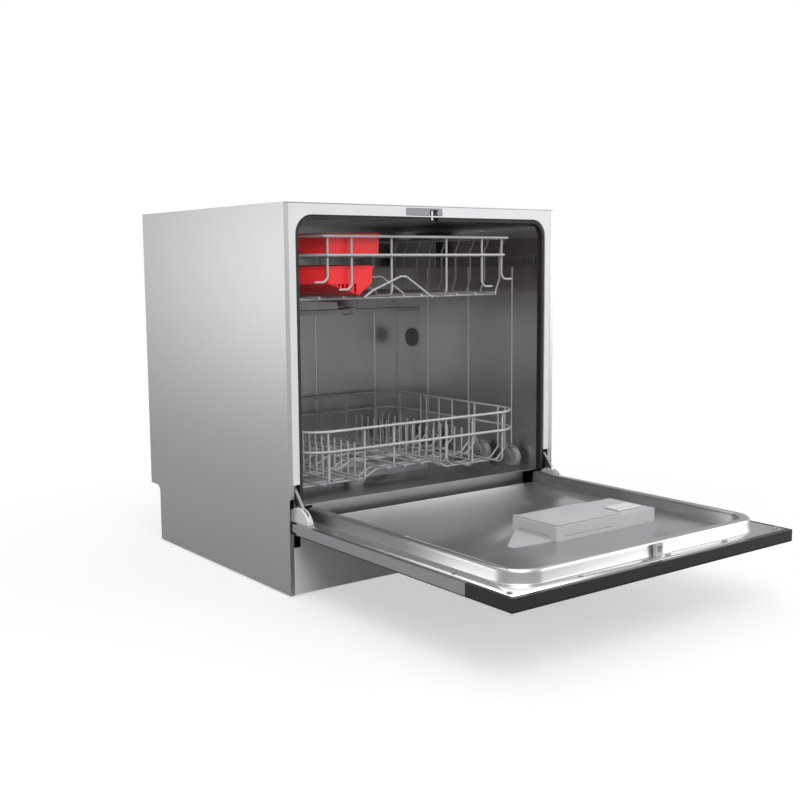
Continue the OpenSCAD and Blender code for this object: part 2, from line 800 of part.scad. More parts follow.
module upper_sides() {
  x = rack_hw + rail_r + gap;
  color("lightgray") both() union() {
    rod([rack_hw, rack_y + 70 + gap, up_z], [rack_hw, rack_back - 22 - gap, up_z], rail_r);
    rod([up_in + cross, rack_y + 70 + gap, up_mid], [up_in + cross, rack_back - 22 - gap, up_mid], rail_r);
    for (k = up_side) {
      y = rack_y + k;
      wire([[side_x, y, up_z], [side_x, y, up_z - 7], [up_in, y, up_z - 22], [up_in, y, up_low + 30],
        [toe_x + 4, y, up_low], [toe_x, y, up_low]]);
    }
  }
  color("gray") both() union() {
    block([x, rack_y + roller_at[0] - 15, roller_z - 12], [x + 2.5, rack_y + roller_at[1] + 15, up_z + 4]);
    for (k = roller_at)
      bar_x(x + 1, rack_y + k, roller_z, axle_r, rail_x + 11 - x);
  }
}

roller_at = along_rack * [290, 410];

module roller_pair(k) {
  x0 = rack_hw + rail_r + gap + 3.5;
  color("white") both() translate([x0, rack_y + k, roller_z]) rotate([0, 90, 0]) difference() {
    cylinder(h = rail_x + 13 - x0, r = roller_r, $fn = 64);
    translate([0, 0, -1]) cylinder(h = 40, r = axle_r + run, $fn = 48);
  }
}

module rollers_front() {
  roller_pair(roller_at[0]);
}

module rollers_rear() {
  roller_pair(roller_at[1]);
}

tray_y = [rack_y + 8, rack_y + 322];

tray_x = 3 - up_in;        // left side of both trays

// the corner cut off both trays, along the slanting corner of the rack
module tray_corner() {
  along_z(up_low, 200) polygon([[tray_x - 1, tray_y[0] - 1], [tray_x + 41, tray_y[0] - 1],
    [tray_x - 1, tray_y[0] + 49]]);
}

module upper_tray() {
  z0 = up_mid + rail_r + gap;
  right = -86;
  step_y = tray_y[0] + 66;
  color("red") difference() {
    union() {
      block([tray_x, tray_y[0], z0], [right, tray_y[1], up_z - 7]);
      block([tray_x, tray_y[0], z0], [right, step_y, up_z + 7]);
    }
    difference() {
      block([tray_x + 2, tray_y[0] + 2, z0 + 2], [right - 2, tray_y[1] - 2, up_z + 10]);
      translate([2.4, 2.4, 0]) tray_corner();
    }
    tray_corner();
    for (y = [tray_y[0] + 70 : 20 : tray_y[1] - 16])
      block([tray_x - 1, y, z0 + 5], [tray_x + 3, y + 11, up_z - 11]);
    for (y = [tray_y[0] + 54 : 18 : tray_y[1] - 16], x = [tray_x + 8 : 23 : right - 20])
      block([x, y, z0 - 1], [x + 17, y + 11, z0 + 3]);
  }
}

// outline of the lower tray from the front, shrunk by a wall
module tray_section(wall, top) {
  foot = up_low + cross + wire_r + 2;
  brow = up_mid - 46;
  polygon([[tray_x + wall, brow + wall], [tray_x + wall, top], [-98 - wall, top], [-98 - wall, brow + wall],
    [-112 - wall / 2, foot + wall], [-124 + wall / 2, foot + wall]]);
}

module lower_tray() {
  top = up_mid - rail_r - 14;
  color("red") difference() {
    along_y(tray_y[0], tray_y[1] - tray_y[0]) tray_section(0, top);
    difference() {
      along_y(tray_y[0] + 2, tray_y[1] - tray_y[0] - 4) tray_section(2, top + 1);
      translate([2.4, 2.4, 0]) tray_corner();
    }
    tray_corner();
    for (y = [tray_y[0] + 56 : 30 : tray_y[1] - 24], x = [tray_x + 10 : 12 : -134])
      block([x, y, up_low], [x + 6, y + 24, up_mid - 44]);
  }
}

side_panel_left();
side_panel_right();
top_panel();
back_panel();
base_pan();
feet();
toe_kick();
front_frame();
tub_wrap();
tub_back();
tub_base();
door_seal();
latch_housing();
latch_hook();
hinge_brackets();
upper_rails();
sump();
flat_filter();
coarse_filter();
salt_cap();
wash_pump();
drain_pump();
inlet_valve();
drain_spigot();
mains_inlet();
feed_pipe();
vent_cap();
arm_post();
lower_arm();
door_panel();
door_strips();
door_end_cap();
door_liner();
door_screws();
hinge_arms();
hinge_covers();
door_keeper();
dispenser_body();
dispenser_lid();
rinse_lever();
lower_floor();
lower_front();
lower_sides();
lower_back();
lower_tines();
wheel_brackets();
wheels_front();
wheels_second();
wheels_third();
wheels_rear();
upper_floor();
upper_front();
upper_sides();
upper_back();
upper_tray();
lower_tray();
arm_feed();
middle_arm();
rollers_front();
rollers_rear();
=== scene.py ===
import json
import math
import bmesh
import bpy
from mathutils import Matrix, Vector


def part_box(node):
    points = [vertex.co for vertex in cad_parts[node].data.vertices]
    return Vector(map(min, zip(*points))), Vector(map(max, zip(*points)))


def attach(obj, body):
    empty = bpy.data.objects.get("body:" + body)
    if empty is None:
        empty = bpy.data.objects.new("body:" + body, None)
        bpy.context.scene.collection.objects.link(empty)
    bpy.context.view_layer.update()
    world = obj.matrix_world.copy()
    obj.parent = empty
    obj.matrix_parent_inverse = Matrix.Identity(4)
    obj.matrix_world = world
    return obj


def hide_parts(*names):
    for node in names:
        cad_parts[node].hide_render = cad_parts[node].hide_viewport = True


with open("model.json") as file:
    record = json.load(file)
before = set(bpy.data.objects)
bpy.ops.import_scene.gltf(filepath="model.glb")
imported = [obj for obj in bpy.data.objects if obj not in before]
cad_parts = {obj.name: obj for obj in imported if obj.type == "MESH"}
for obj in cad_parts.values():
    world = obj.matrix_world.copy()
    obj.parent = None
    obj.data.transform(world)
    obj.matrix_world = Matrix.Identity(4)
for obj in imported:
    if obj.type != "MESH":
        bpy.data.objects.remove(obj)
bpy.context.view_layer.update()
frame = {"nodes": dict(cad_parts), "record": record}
scene = bpy.context.scene

cameraPlace = {"at": (-1.22754, -1.54698, 0.55057), "yaw": 0.64213, "pitch": 0.12241, "roll": -0.007353,
               "lens": 50.0, "sensor": 36.0}


def addCamera(place):
    yaw, pitch, roll = place["yaw"], place["pitch"], place["roll"]
    forward = Vector((math.sin(yaw) * math.cos(pitch), math.cos(yaw) * math.cos(pitch), -math.sin(pitch)))
    level = Vector((math.cos(yaw), -math.sin(yaw), 0.0))
    lift = level.cross(forward)
    right = level * math.cos(roll) + lift * math.sin(roll)
    up = lift * math.cos(roll) - level * math.sin(roll)
    turn = Matrix((right, up, -forward)).transposed().to_4x4()
    data = bpy.data.cameras.new("photoCamera")
    data.lens = place["lens"]
    data.sensor_width = place["sensor"]
    data.clip_end = 50.0
    camera = bpy.data.objects.new("photoCamera", data)
    camera.matrix_world = Matrix.Translation(Vector(place["at"])) @ turn
    scene.collection.objects.link(camera)
    scene.camera = camera


addCamera(cameraPlace)
print("camera placed")

# finishes: the grain and the small changes of tone are noise on Object coordinates

grainPlan = {"steelDetail": 6.0, "steelBump": 0.3, "plasticDetail": 2.0, "plasticDepth": 0.00003,
             "plasticBump": 0.4, "cloudScale": 14.0, "cloudDetail": 3.0, "darkEnd": 0.3, "lightEnd": 0.7}


def newMaterial(name, color, roughness, metallic=0.0, coat=0.0, coatRoughness=0.1, ior=1.5):
    material = bpy.data.materials.new(name)
    material.use_nodes = True
    shader = material.node_tree.nodes["Principled BSDF"]
    shader.inputs["Base Color"].default_value = (*color, 1.0)
    shader.inputs["Roughness"].default_value = roughness
    shader.inputs["Metallic"].default_value = metallic
    shader.inputs["Coat Weight"].default_value = coat
    shader.inputs["Coat Roughness"].default_value = coatRoughness
    shader.inputs["IOR"].default_value = ior
    material.diffuse_color = (*color, 1.0)
    return material


def addNode(material, kind, **values):
    node = material.node_tree.nodes.new(kind)
    for key, value in values.items():
        if hasattr(node, key):
            setattr(node, key, value)
        else:
            node.inputs[key.replace("_", " ")].default_value = value
    return node


def surfaceNoise(material, scale, stretch, detail=4.0):
    links = material.node_tree.links
    place = addNode(material, "ShaderNodeTexCoord")
    mapping = addNode(material, "ShaderNodeMapping")
    mapping.inputs["Scale"].default_value = stretch
    noise = addNode(material, "ShaderNodeTexNoise", Scale=scale, Detail=detail)
    links.new(place.outputs["Object"], mapping.inputs["Vector"])
    links.new(mapping.outputs["Vector"], noise.inputs["Vector"])
    return noise


def varyRoughness(material, noise, low, high):
    ramp = addNode(material, "ShaderNodeMapRange")
    ramp.inputs["To Min"].default_value = low
    ramp.inputs["To Max"].default_value = high
    material.node_tree.links.new(noise.outputs["Fac"], ramp.inputs["Value"])
    shader = material.node_tree.nodes["Principled BSDF"]
    material.node_tree.links.new(ramp.outputs["Result"], shader.inputs["Roughness"])


def varyColor(material, noise, dark, light):
    ramp = addNode(material, "ShaderNodeValToRGB")
    ramp.color_ramp.elements[0].position = grainPlan["darkEnd"]
    ramp.color_ramp.elements[0].color = (*dark, 1.0)
    ramp.color_ramp.elements[1].position = grainPlan["lightEnd"]
    ramp.color_ramp.elements[1].color = (*light, 1.0)
    material.node_tree.links.new(noise.outputs["Fac"], ramp.inputs["Fac"])
    shader = material.node_tree.nodes["Principled BSDF"]
    material.node_tree.links.new(ramp.outputs["Color"], shader.inputs["Base Color"])


def addBump(material, noise, distance, strength=0.5):
    bump = addNode(material, "ShaderNodeBump", Strength=strength, Distance=distance)
    material.node_tree.links.new(noise.outputs["Fac"], bump.inputs["Height"])
    shader = material.node_tree.nodes["Principled BSDF"]
    material.node_tree.links.new(bump.outputs["Normal"], shader.inputs["Normal"])


def brushedSteel(name, dark, light, low, high, stretch, scale=60.0, depth=0.00004):
    material = newMaterial(name, light, (low + high) / 2, metallic=1.0)
    grain = surfaceNoise(material, scale, stretch, grainPlan["steelDetail"])
    varyColor(material, grain, dark, light)
    varyRoughness(material, grain, low, high)
    addBump(material, grain, depth, grainPlan["steelBump"])
    return material


def mouldedPlastic(name, dark, light, low, high, coat=0.0, scale=900.0):
    material = newMaterial(name, light, (low + high) / 2, coat=coat)
    grain = surfaceNoise(material, scale, (1.0, 1.0, 1.0), grainPlan["plasticDetail"])
    varyRoughness(material, grain, low, high)
    cloud = surfaceNoise(material, grainPlan["cloudScale"], (1.0, 1.0, 1.0), grainPlan["cloudDetail"])
    varyColor(material, cloud, dark, light)
    addBump(material, grain, grainPlan["plasticDepth"], grainPlan["plasticBump"])
    return material


materials = {
    "panel_steel": brushedSteel("panelSteel", (0.50, 0.50, 0.51), (0.54, 0.54, 0.55), 0.34, 0.38,
                                (1.0, 1.0, 0.02), 900.0, 0.00001),
    "frame_grey": mouldedPlastic("frameGrey", (0.66, 0.66, 0.67), (0.70, 0.70, 0.71), 0.28, 0.34),
    "zinc_sheet": brushedSteel("zincSheet", (0.45, 0.46, 0.47), (0.55, 0.55, 0.56), 0.4, 0.5,
                               (1.0, 1.0, 1.0), 30.0),
    "tub_steel": brushedSteel("tubSteel", (0.60, 0.60, 0.60), (0.64, 0.64, 0.64), 0.28, 0.32,
                              (1.0, 0.03, 1.0), 500.0, 0.000002),
    "liner_steel": brushedSteel("linerSteel", (0.63, 0.63, 0.63), (0.65, 0.65, 0.65), 0.33, 0.36,
                                (0.03, 1.0, 1.0), 500.0, 0.000002),
    "black_rubber": mouldedPlastic("blackRubber", (0.012, 0.012, 0.012), (0.02, 0.02, 0.02), 0.6, 0.75),
    "black_gloss": mouldedPlastic("blackGloss", (0.006, 0.006, 0.007), (0.009, 0.009, 0.010), 0.28, 0.34),
    "dark_strip": brushedSteel("darkStrip", (0.42, 0.42, 0.43), (0.46, 0.46, 0.47), 0.30, 0.36,
                               (1.0, 0.05, 1.0), 500.0, 0.000005),
    "grey_plastic": mouldedPlastic("greyPlastic", (0.22, 0.23, 0.24), (0.27, 0.28, 0.29), 0.38, 0.46),
    "light_plastic": mouldedPlastic("lightPlastic", (0.40, 0.41, 0.42), (0.44, 0.45, 0.46), 0.34, 0.42),
    "white_plastic": mouldedPlastic("whitePlastic", (0.60, 0.60, 0.59), (0.65, 0.65, 0.64), 0.32, 0.4),
    "black_plastic": mouldedPlastic("blackPlastic", (0.02, 0.02, 0.02), (0.03, 0.03, 0.03), 0.4, 0.5),
    "blue_plastic": mouldedPlastic("bluePlastic", (0.06, 0.12, 0.26), (0.08, 0.15, 0.3), 0.35, 0.45),
    "red_plastic": mouldedPlastic("redPlastic", (0.80, 0.012, 0.018), (0.86, 0.014, 0.020), 0.42, 0.50),
    "wire_coat": mouldedPlastic("wireCoat", (0.38, 0.39, 0.40), (0.46, 0.47, 0.48), 0.26, 0.34, 0.15),
    "zinc_metal": brushedSteel("zincMetal", (0.42, 0.42, 0.43), (0.52, 0.52, 0.53), 0.3, 0.42,
                               (1.0, 1.0, 1.0), 80.0),
}


def dressNodes():
    for part in frame["record"]["subparts"]:
        node = frame["nodes"][part["node"]]
        node.data.materials.clear()
        node.data.materials.append(materials[part["material_slot"]])


dressNodes()
print("materials made")

# helpers: a piece starts as a few faces, which are stepped in, cut and pressed

cutting = {"near": 0.0005, "past": 0.001, "edge": 0.0003, "slotEdge": 0.0002, "same": 0.00002}


def newPiece(name, built, slot, body, smoothAngle=35.0):
    mesh = bpy.data.meshes.new(name)
    built.to_mesh(mesh)
    built.free()
    mesh.shade_smooth()
    mesh.set_sharp_from_angle(angle=math.radians(smoothAngle))
    mesh.materials.append(materials[slot])
    piece = bpy.data.objects.new(name, mesh)
    scene.collection.objects.link(piece)
    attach(piece, body)
    return piece


def addThickness(piece, thickness, offset=-1.0):
    solid = piece.modifiers.new("wall", "SOLIDIFY")
    solid.thickness = thickness
    solid.offset = offset
    solid.use_even_offset = True


def addBevel(piece, width, segments=2, angle=40.0):
    bevel = piece.modifiers.new("softEdges", "BEVEL")
    bevel.width = width
    bevel.segments = segments
    bevel.limit_method = "ANGLE"
    bevel.angle_limit = math.radians(angle)
    bevel.use_clamp_overlap = True
    bevel.harden_normals = True


def softenNode(name, width, segments=2):
    node = frame["nodes"][name]
    weld = node.modifiers.new("joinCorners", "WELD")
    weld.merge_threshold = 0.00001
    addBevel(node, width, segments)


def boxFace(built, low, high, z):
    made = bmesh.ops.create_grid(built, x_segments=1, y_segments=1, size=0.5)
    size = Vector((high[0] - low[0], high[1] - low[1], 1.0))
    middle = Vector(((low[0] + high[0]) / 2, (low[1] + high[1]) / 2, z))
    bmesh.ops.scale(built, vec=size, verts=made["verts"])
    bmesh.ops.translate(built, vec=middle, verts=made["verts"])
    return made["verts"][0].link_faces[0]


def boxSolid(built, low, high):
    made = bmesh.ops.create_cube(built, size=1.0)
    bmesh.ops.scale(built, vec=Vector(high) - Vector(low), verts=made["verts"])
    bmesh.ops.translate(built, vec=(Vector(high) + Vector(low)) / 2, verts=made["verts"])
    return made["verts"]


def roundCorners(built, corners, radius, segments):
    bmesh.ops.bevel(built, geom=corners, offset=radius, offset_type="OFFSET", segments=segments,
                    profile=0.5, affect="VERTICES", clamp_overlap=False, material=-1)


def stepFace(built, face, inward, rise):
    bmesh.ops.inset_region(built, faces=[face], thickness=inward, depth=rise, use_boundary=True,
                           use_even_offset=True)


def partsOf(faces):
    verts = {vert for face in faces for vert in face.verts}
    edges = {edge for face in faces for edge in face.edges}
    return list(verts) + list(edges) + list(faces)


def cutAlong(built, faces, point, normal):
    live = [face for face in faces if face.is_valid]
    bmesh.ops.bisect_plane(built, geom=partsOf(live), dist=0.000001, plane_co=point, plane_no=normal)


def nearBox(face, low, high):
    for axis in range(3):
        along = [vert.co[axis] for vert in face.verts]
        if max(along) < low[axis] or min(along) > high[axis]:
            return False
    return True


def splitBox(built, low, high, axes=(0, 1, 2)):
    for axis in axes:
        normal = Vector((0.0, 0.0, 0.0))
        normal[axis] = 1.0
        for corner in (low, high):
            faces = [face for face in built.faces if nearBox(face, low, high)]
            cutAlong(built, faces, Vector(corner), normal)
    inside = []
    for face in built.faces:
        middle = face.calc_center_median()
        if all(low[axis] <= middle[axis] <= high[axis] for axis in range(3)):
            inside.append(face)
    return inside


def cutOut(built, low, high, axes=(0, 1, 2)):
    bmesh.ops.delete(built, geom=splitBox(built, low, high, axes), context="FACES")


def pressIn(built, faces, deep, edge):
    bmesh.ops.inset_region(built, faces=faces, thickness=edge, depth=-deep, use_boundary=True, use_even_offset=True)


# door liner: one pressed sheet with a raised rim

linerPlan = {"corner": 0.0535, "rimHalf": 0.2695, "rimFront": -0.5135, "behind": 0.08, "segments": 14,
             "sheet": 0.0012, "rise": 0.020, "notchX": 0.2803, "notchY": -0.048,
             "groove": (0.255, 0.258), "grooveY": (-0.484, -0.256), "grooveDeep": 0.0014,
             "foot": [(0.0015, 0.0), (0.0004, 0.0002), (0.0005, 0.0006), (0.0004, 0.0012)],
             "shoulder": [(0.0005, 0.0020), (0.0009, 0.0017), (0.0014, 0.0012), (0.0016, 0.0005)],
             "draft": 0.0012, "land": 0.0082, "overlap": 0.02, "hole": (-0.0445, 0.1685), "holeIn": 0.0055}


def rimSteps(plan):
    used = sum(step[1] for step in plan["foot"] + plan["shoulder"])
    wall = [(plan["draft"], plan["rise"] - used)]
    upward = plan["foot"] + wall + plan["shoulder"]
    downward = [(inward, -rise) for inward, rise in reversed(upward)]
    return upward + [(plan["land"], 0.0)] + downward


def makeLiner(plan):
    low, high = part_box("door_liner")
    level = low[2] + plan["sheet"]
    built = bmesh.new()
    floorFace = boxFace(built, (-plan["rimHalf"], plan["rimFront"]), (plan["rimHalf"], plan["behind"]), level)
    roundCorners(built, list(floorFace.verts), plan["corner"], plan["segments"])
    floorFace = built.faces[:][0]
    for inward, rise in rimSteps(plan):
        stepFace(built, floorFace, inward, rise)
    # the flange fills the ring between the outline of the rim and the edge of the sheet
    outline = [edge for edge in built.edges if edge.is_boundary]
    flange = boxFace(built, (low[0], low[1]), (high[0], plan["behind"] + plan["overlap"]), level)
    border = list(flange.edges)
    bmesh.ops.delete(built, geom=[flange], context="FACES_ONLY")
    bmesh.ops.triangle_fill(built, use_beauty=True, edges=outline + border)
    bmesh.ops.recalc_face_normals(built, faces=built.faces)
    if floorFace.normal.z < 0:
        bmesh.ops.reverse_faces(built, faces=built.faces)
    bmesh.ops.bisect_plane(built, geom=partsOf(built.faces), plane_co=(0.0, high[1], 0.0),
                           plane_no=(0.0, 1.0, 0.0), clear_outer=True)
    # notches for the hinge arms, and a groove along each side of the rim
    past, near = cutting["past"], cutting["near"]
    for side in (-1.0, 1.0):
        reach = sorted((side * plan["notchX"], side * (high[0] + past)))
        cutOut(built, (reach[0], plan["notchY"], level - past), (reach[1], high[1] + past, level + past), (0, 1))
        across = sorted((side * plan["groove"][0], side * plan["groove"][1]))
        grooved = splitBox(built, (across[0], plan["grooveY"][0], high[2] - near),
                           (across[1], plan["grooveY"][1], high[2] + near), (0, 1))
        pressIn(built, grooved, plan["grooveDeep"], cutting["edge"])
    boxLow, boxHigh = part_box("dispenser_body")
    cutOut(built, (plan["hole"][0], boxLow[1] + plan["holeIn"], level - past),
           (plan["hole"][1], boxHigh[1] - plan["holeIn"], level + past), (0, 1))
    liner = newPiece("doorLiner", built, "liner_steel", "door")
    addThickness(liner, plan["sheet"])
    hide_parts("door_liner")


makeLiner(linerPlan)
print("door liner pressed")

# dispenser body: a box with slots, and a low ramp beside it

dispenserPlan = {"left": -0.050, "clear": 0.0003,
                 "ramp": [(-0.1375, -0.350, 0.0006), (-0.050, -0.3605, 0.0028), (-0.050, -0.2755, 0.0028),
                          (-0.061, -0.284, 0.0028)],
                 "cup": ((-0.043, -0.358), (0.095, -0.278)), "cupDeep": 0.026,
                 "slotZ": (0.1339, 0.1351), "frontSlot": (-0.034, 0.075), "sideSlot": (-0.3555, -0.2865),
                 "slotDeep": 0.0012, "lugs": (-0.050, 0.0986), "lugWide": 0.0034, "lugLong": (-0.2745, -0.2695),
                 "lugHigh": 0.0032, "lugClear": 0.0001, "bevel": 0.0011}


def makeRamp(built, corners, base):
    face = built.faces.new([built.verts.new((x, y, base + rise)) for x, y, rise in corners])
    skirt = bmesh.ops.extrude_face_region(built, geom=[face])
    for item in skirt["geom"]:
        if isinstance(item, bmesh.types.BMVert):
            item.co.z = base


def makeDispenser(plan):
    low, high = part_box("dispenser_body")
    near, left = cutting["near"], plan["left"]
    top = high[2] - plan["lugHigh"]
    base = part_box("door_liner")[0][2] + plan["clear"]
    cupLow, cupHigh = plan["cup"]
    zLow, zHigh = plan["slotZ"]
    front, side = plan["frontSlot"], plan["sideSlot"]
    built = bmesh.new()
    boxSolid(built, (left, low[1], base), (high[0], high[1], top))
    cup = splitBox(built, (cupLow[0], cupLow[1], top - near), (cupHigh[0], cupHigh[1], top + near), (0, 1))
    pressIn(built, cup, plan["cupDeep"], cutting["edge"])
    slot = splitBox(built, (front[0], low[1] - near, zLow), (front[1], low[1] + near, zHigh), (0, 2))
    pressIn(built, slot, plan["slotDeep"], cutting["slotEdge"])
    slot = splitBox(built, (left - near, side[0], zLow), (left + near, side[1], zHigh), (1, 2))
    pressIn(built, slot, plan["slotDeep"], cutting["slotEdge"])
    makeRamp(built, plan["ramp"], base)
    for x in plan["lugs"]:
        boxSolid(built, (x, plan["lugLong"][0], top + plan["lugClear"]),
                 (x + plan["lugWide"], plan["lugLong"][1], high[2]))
    bmesh.ops.recalc_face_normals(built, faces=built.faces)
    body = newPiece("dispenserBody", built, "light_plastic", "door")
    addBevel(body, plan["bevel"])
    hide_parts("dispenser_body")


makeDispenser(dispenserPlan)
print("dispenser moulded")

# cup supports: bent wires across the upper rack


def filletPath(points, bend, steps=6):
    path = [Vector(points[0])]
    for before, corner, after in zip(points, points[1:], points[2:]):
        corner = Vector(corner)
        toBefore = (Vector(before) - corner).normalized()
        toAfter = (Vector(after) - corner).normalized()
        half = toBefore.angle(toAfter) / 2
        setback = bend / math.tan(half)
        centre = corner + (toBefore + toAfter).normalized() * (bend / math.sin(half))
        start = corner + toBefore * setback - centre
        end = corner + toAfter * setback - centre
        for step in range(steps + 1):
            spoke = start.slerp(end, step / steps)
            path.append(centre + spoke * bend / spoke.length)
    path.append(Vector(points[-1]))
    return path


def wireMesh(paths, radius, roundness=6):
    curve = bpy.data.curves.new("wirePath", "CURVE")
    curve.dimensions = "3D"
    curve.bevel_depth = radius
    curve.bevel_resolution = roundness
    curve.use_fill_caps = True
    for path in paths:
        spline = curve.splines.new("POLY")
        spline.points.add(len(path) - 1)
        for point, place in zip(spline.points, path):
            point.co = (*place, 1.0)
    holder = bpy.data.objects.new("wirePath", curve)
    scene.collection.objects.link(holder)
    graph = bpy.context.evaluated_depsgraph_get()
    mesh = bpy.data.meshes.new_from_object(holder.evaluated_get(graph))
    bpy.data.objects.remove(holder)
    built = bmesh.new()
    built.from_mesh(mesh)
    bpy.data.meshes.remove(mesh)
    bmesh.ops.remove_doubles(built, verts=built.verts, dist=cutting["same"] / 2)
    return built


supportPlan = {"radius": 0.0018, "bend": 0.006, "frontY": 0.030, "backY": (0.104, 0.190, 0.277, 0.364),
               "front": [(-0.124, 0.492), (-0.106, 0.504), (-0.045, 0.5275), (-0.033, 0.5275),
                         (0.014, 0.4975), (0.026, 0.4895)],
               "back": [(-0.092, 0.4915), (-0.062, 0.5245), (-0.035, 0.5275), (0.014, 0.4975),
                        (0.026, 0.4895)]}


def makeSupports(plan):
    paths = [filletPath([(x, plan["frontY"], z) for x, z in plan["front"]], plan["bend"])]
    for y in plan["backY"]:
        paths.append(filletPath([(x, y, z) for x, z in plan["back"]], plan["bend"]))
    newPiece("cupSupports", wireMesh(paths, plan["radius"]), "wire_coat", "upper_rack")


makeSupports(supportPlan)
print("cup supports bent")

# red trays: tapered shells, the lower one with a ridge in its floor

trayPlan = {"left": -0.2325, "front": 0.040, "back": 0.352, "corner": 0.0425, "wall": 0.0018,
            "lip": 0.0018, "draft": 0.0012, "bevel": 0.0005}
upperTrayPlan = {"right": -0.0835, "top": 0.600, "low": 0.590, "foot": 0.5675, "step": (0.080, 0.102),
                 "comb": (0.572, 0.5875), "combWide": 0.011, "combPitch": 0.0198, "combFirst": 0.124,
                 "combLast": 0.344, "combDeep": 0.003, "slotWide": 0.010, "slotLong": 0.017,
                 "slotPitch": (0.023, 0.018), "slotStart": (0.008, 0.058), "slotEnd": (0.006, 0.010)}
lowerTrayPlan = {"right": -0.098, "top": 0.544, "foot": 0.517, "ridgeX": -0.126, "ridge": 0.4965,
                 "slatWide": 0.0034, "slatPitch": 0.0125, "slatLong": 0.118, "ribLong": 0.007,
                 "slatStart": (0.012, 0.054), "slatEnd": (0.004, 0.006), "slatTop": 0.0003,
                 "teeth": (-0.196, -0.134), "toothPitch": 0.0085, "toothGap": 0.0045, "toothDeep": 0.004,
                 "toothLow": 0.002, "toothTop": 0.001}


def trayShell(plan, right, top, foot):
    lip = plan["lip"]
    built = bmesh.new()
    face = boxFace(built, (plan["left"] - lip, plan["front"] - lip), (right + lip, plan["back"] + lip), top)
    corner = min(face.verts, key=lambda vert: vert.co.x + vert.co.y)
    bmesh.ops.bevel(built, geom=[corner], offset=plan["corner"], offset_type="OFFSET", segments=1,
                    profile=0.5, affect="VERTICES", clamp_overlap=False, material=-1)
    face = built.faces[:][0]
    stepFace(built, face, lip, 0.0)
    stepFace(built, face, plan["draft"], foot - top)
    return built, face


def makeUpperTray(shared, plan):
    built = trayShell(shared, plan["right"], plan["top"], plan["foot"])[0]
    past = cutting["past"]
    for y in plan["step"]:
        cutAlong(built, built.faces[:], Vector((0.0, y, 0.0)), Vector((0.0, 1.0, 0.0)))
    lowered = [vert for vert in built.verts
               if vert.co.y > plan["step"][1] - cutting["near"] and vert.co.z > plan["low"]]
    bmesh.ops.translate(built, vec=(0.0, 0.0, plan["low"] - plan["top"]), verts=lowered)
    y = plan["combFirst"]
    while y + plan["combWide"] < plan["combLast"]:
        cutOut(built, (shared["left"] - past, y, plan["comb"][0]),
               (shared["left"] + plan["combDeep"], y + plan["combWide"], plan["comb"][1]), (1, 2))
        y += plan["combPitch"]
    y = shared["front"] + plan["slotStart"][1]
    while y + plan["slotWide"] < shared["back"] - plan["slotEnd"][1]:
        x = shared["left"] + plan["slotStart"][0]
        while x + plan["slotLong"] < plan["right"] - plan["slotEnd"][0]:
            cutOut(built, (x, y, plan["foot"] - past),
                   (x + plan["slotLong"], y + plan["slotWide"], plan["foot"] + past), (0, 1))
            x += plan["slotPitch"][0]
        y += plan["slotPitch"][1]
    tray = newPiece("cutleryTrayUpper", built, "red_plastic", "upper_rack")
    addThickness(tray, shared["wall"], 1.0)
    addBevel(tray, shared["bevel"])
    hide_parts("upper_tray")


def dropRidge(built, bottom, plan):
    cutAlong(built, [bottom], Vector((plan["ridgeX"], 0.0, 0.0)), Vector((1.0, 0.0, 0.0)))
    floorFaces = [face for face in built.faces
                  if abs(face.normal.z) > 0.9 and face.calc_center_median().z < plan["foot"] + cutting["past"]]
    made = bmesh.ops.extrude_face_region(built, geom=floorFaces)
    bmesh.ops.delete(built, geom=floorFaces, context="FACES_ONLY")
    ridge = [item for item in made["geom"] if isinstance(item, bmesh.types.BMVert)
             and abs(item.co.x - plan["ridgeX"]) < cutting["near"]]
    bmesh.ops.translate(built, vec=(0.0, 0.0, plan["ridge"] - plan["foot"]), verts=ridge)
    bmesh.ops.dissolve_degenerate(built, dist=cutting["same"], edges=built.edges)
    bmesh.ops.remove_doubles(built, verts=built.verts, dist=cutting["same"])


def makeLowerTray(shared, plan):
    built, bottom = trayShell(shared, plan["right"], plan["top"], plan["foot"])
    dropRidge(built, bottom, plan)
    x = shared["left"] + plan["slatStart"][0]
    while x + plan["slatWide"] < plan["ridgeX"] - plan["slatEnd"][0]:
        y = shared["front"] + plan["slatStart"][1]
        while y + plan["slatLong"] < shared["back"] - plan["slatEnd"][1]:
            cutOut(built, (x, y, plan["ridge"] - cutting["past"]),
                   (x + plan["slatWide"], y + plan["slatLong"], plan["foot"] - plan["slatTop"]), (0, 1))
            y += plan["slatLong"] + plan["ribLong"]
        x += plan["slatPitch"]
    x = plan["teeth"][0]
    while x < plan["teeth"][1]:
        share = (x - shared["left"]) / (plan["ridgeX"] - shared["left"])
        drop = (plan["foot"] - plan["ridge"]) * share
        cutOut(built, (x, shared["front"] - plan["toothDeep"], plan["foot"] - drop + plan["toothLow"]),
               (x + plan["toothGap"], shared["front"] + plan["toothDeep"], plan["foot"] - plan["toothTop"]), (0, 2))
        x += plan["toothPitch"]
    bmesh.ops.recalc_face_normals(built, faces=built.faces)
    tray = newPiece("cutleryTrayLower", built, "red_plastic", "upper_rack")
    addThickness(tray, shared["wall"], 1.0)
    addBevel(tray, shared["bevel"])
    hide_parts("lower_tray")


makeUpperTray(trayPlan, upperTrayPlan)
makeLowerTray(trayPlan, lowerTrayPlan)
print("trays moulded")

# wheels: rounded tyre, hub and eight slots in the web

wheelPlan = {"wide": 0.013, "bore": 0.00305, "segments": 48, "slotEvery": 6, "slotFaces": 4, "slotDeep": 0.007,
             "rounding": [(1.0, 0.14), (0.984, 0.055), (0.925, 0.0)], "web": 0.0022,
             "rim": (0.80, 0.775), "slot": (0.735, 0.42), "hub": (0.375, 0.35)}
wheelBodies = {"wheels_front": "axle_front", "wheels_second": "axle_second", "wheels_third": "axle_third",
               "wheels_rear": "axle_rear"}


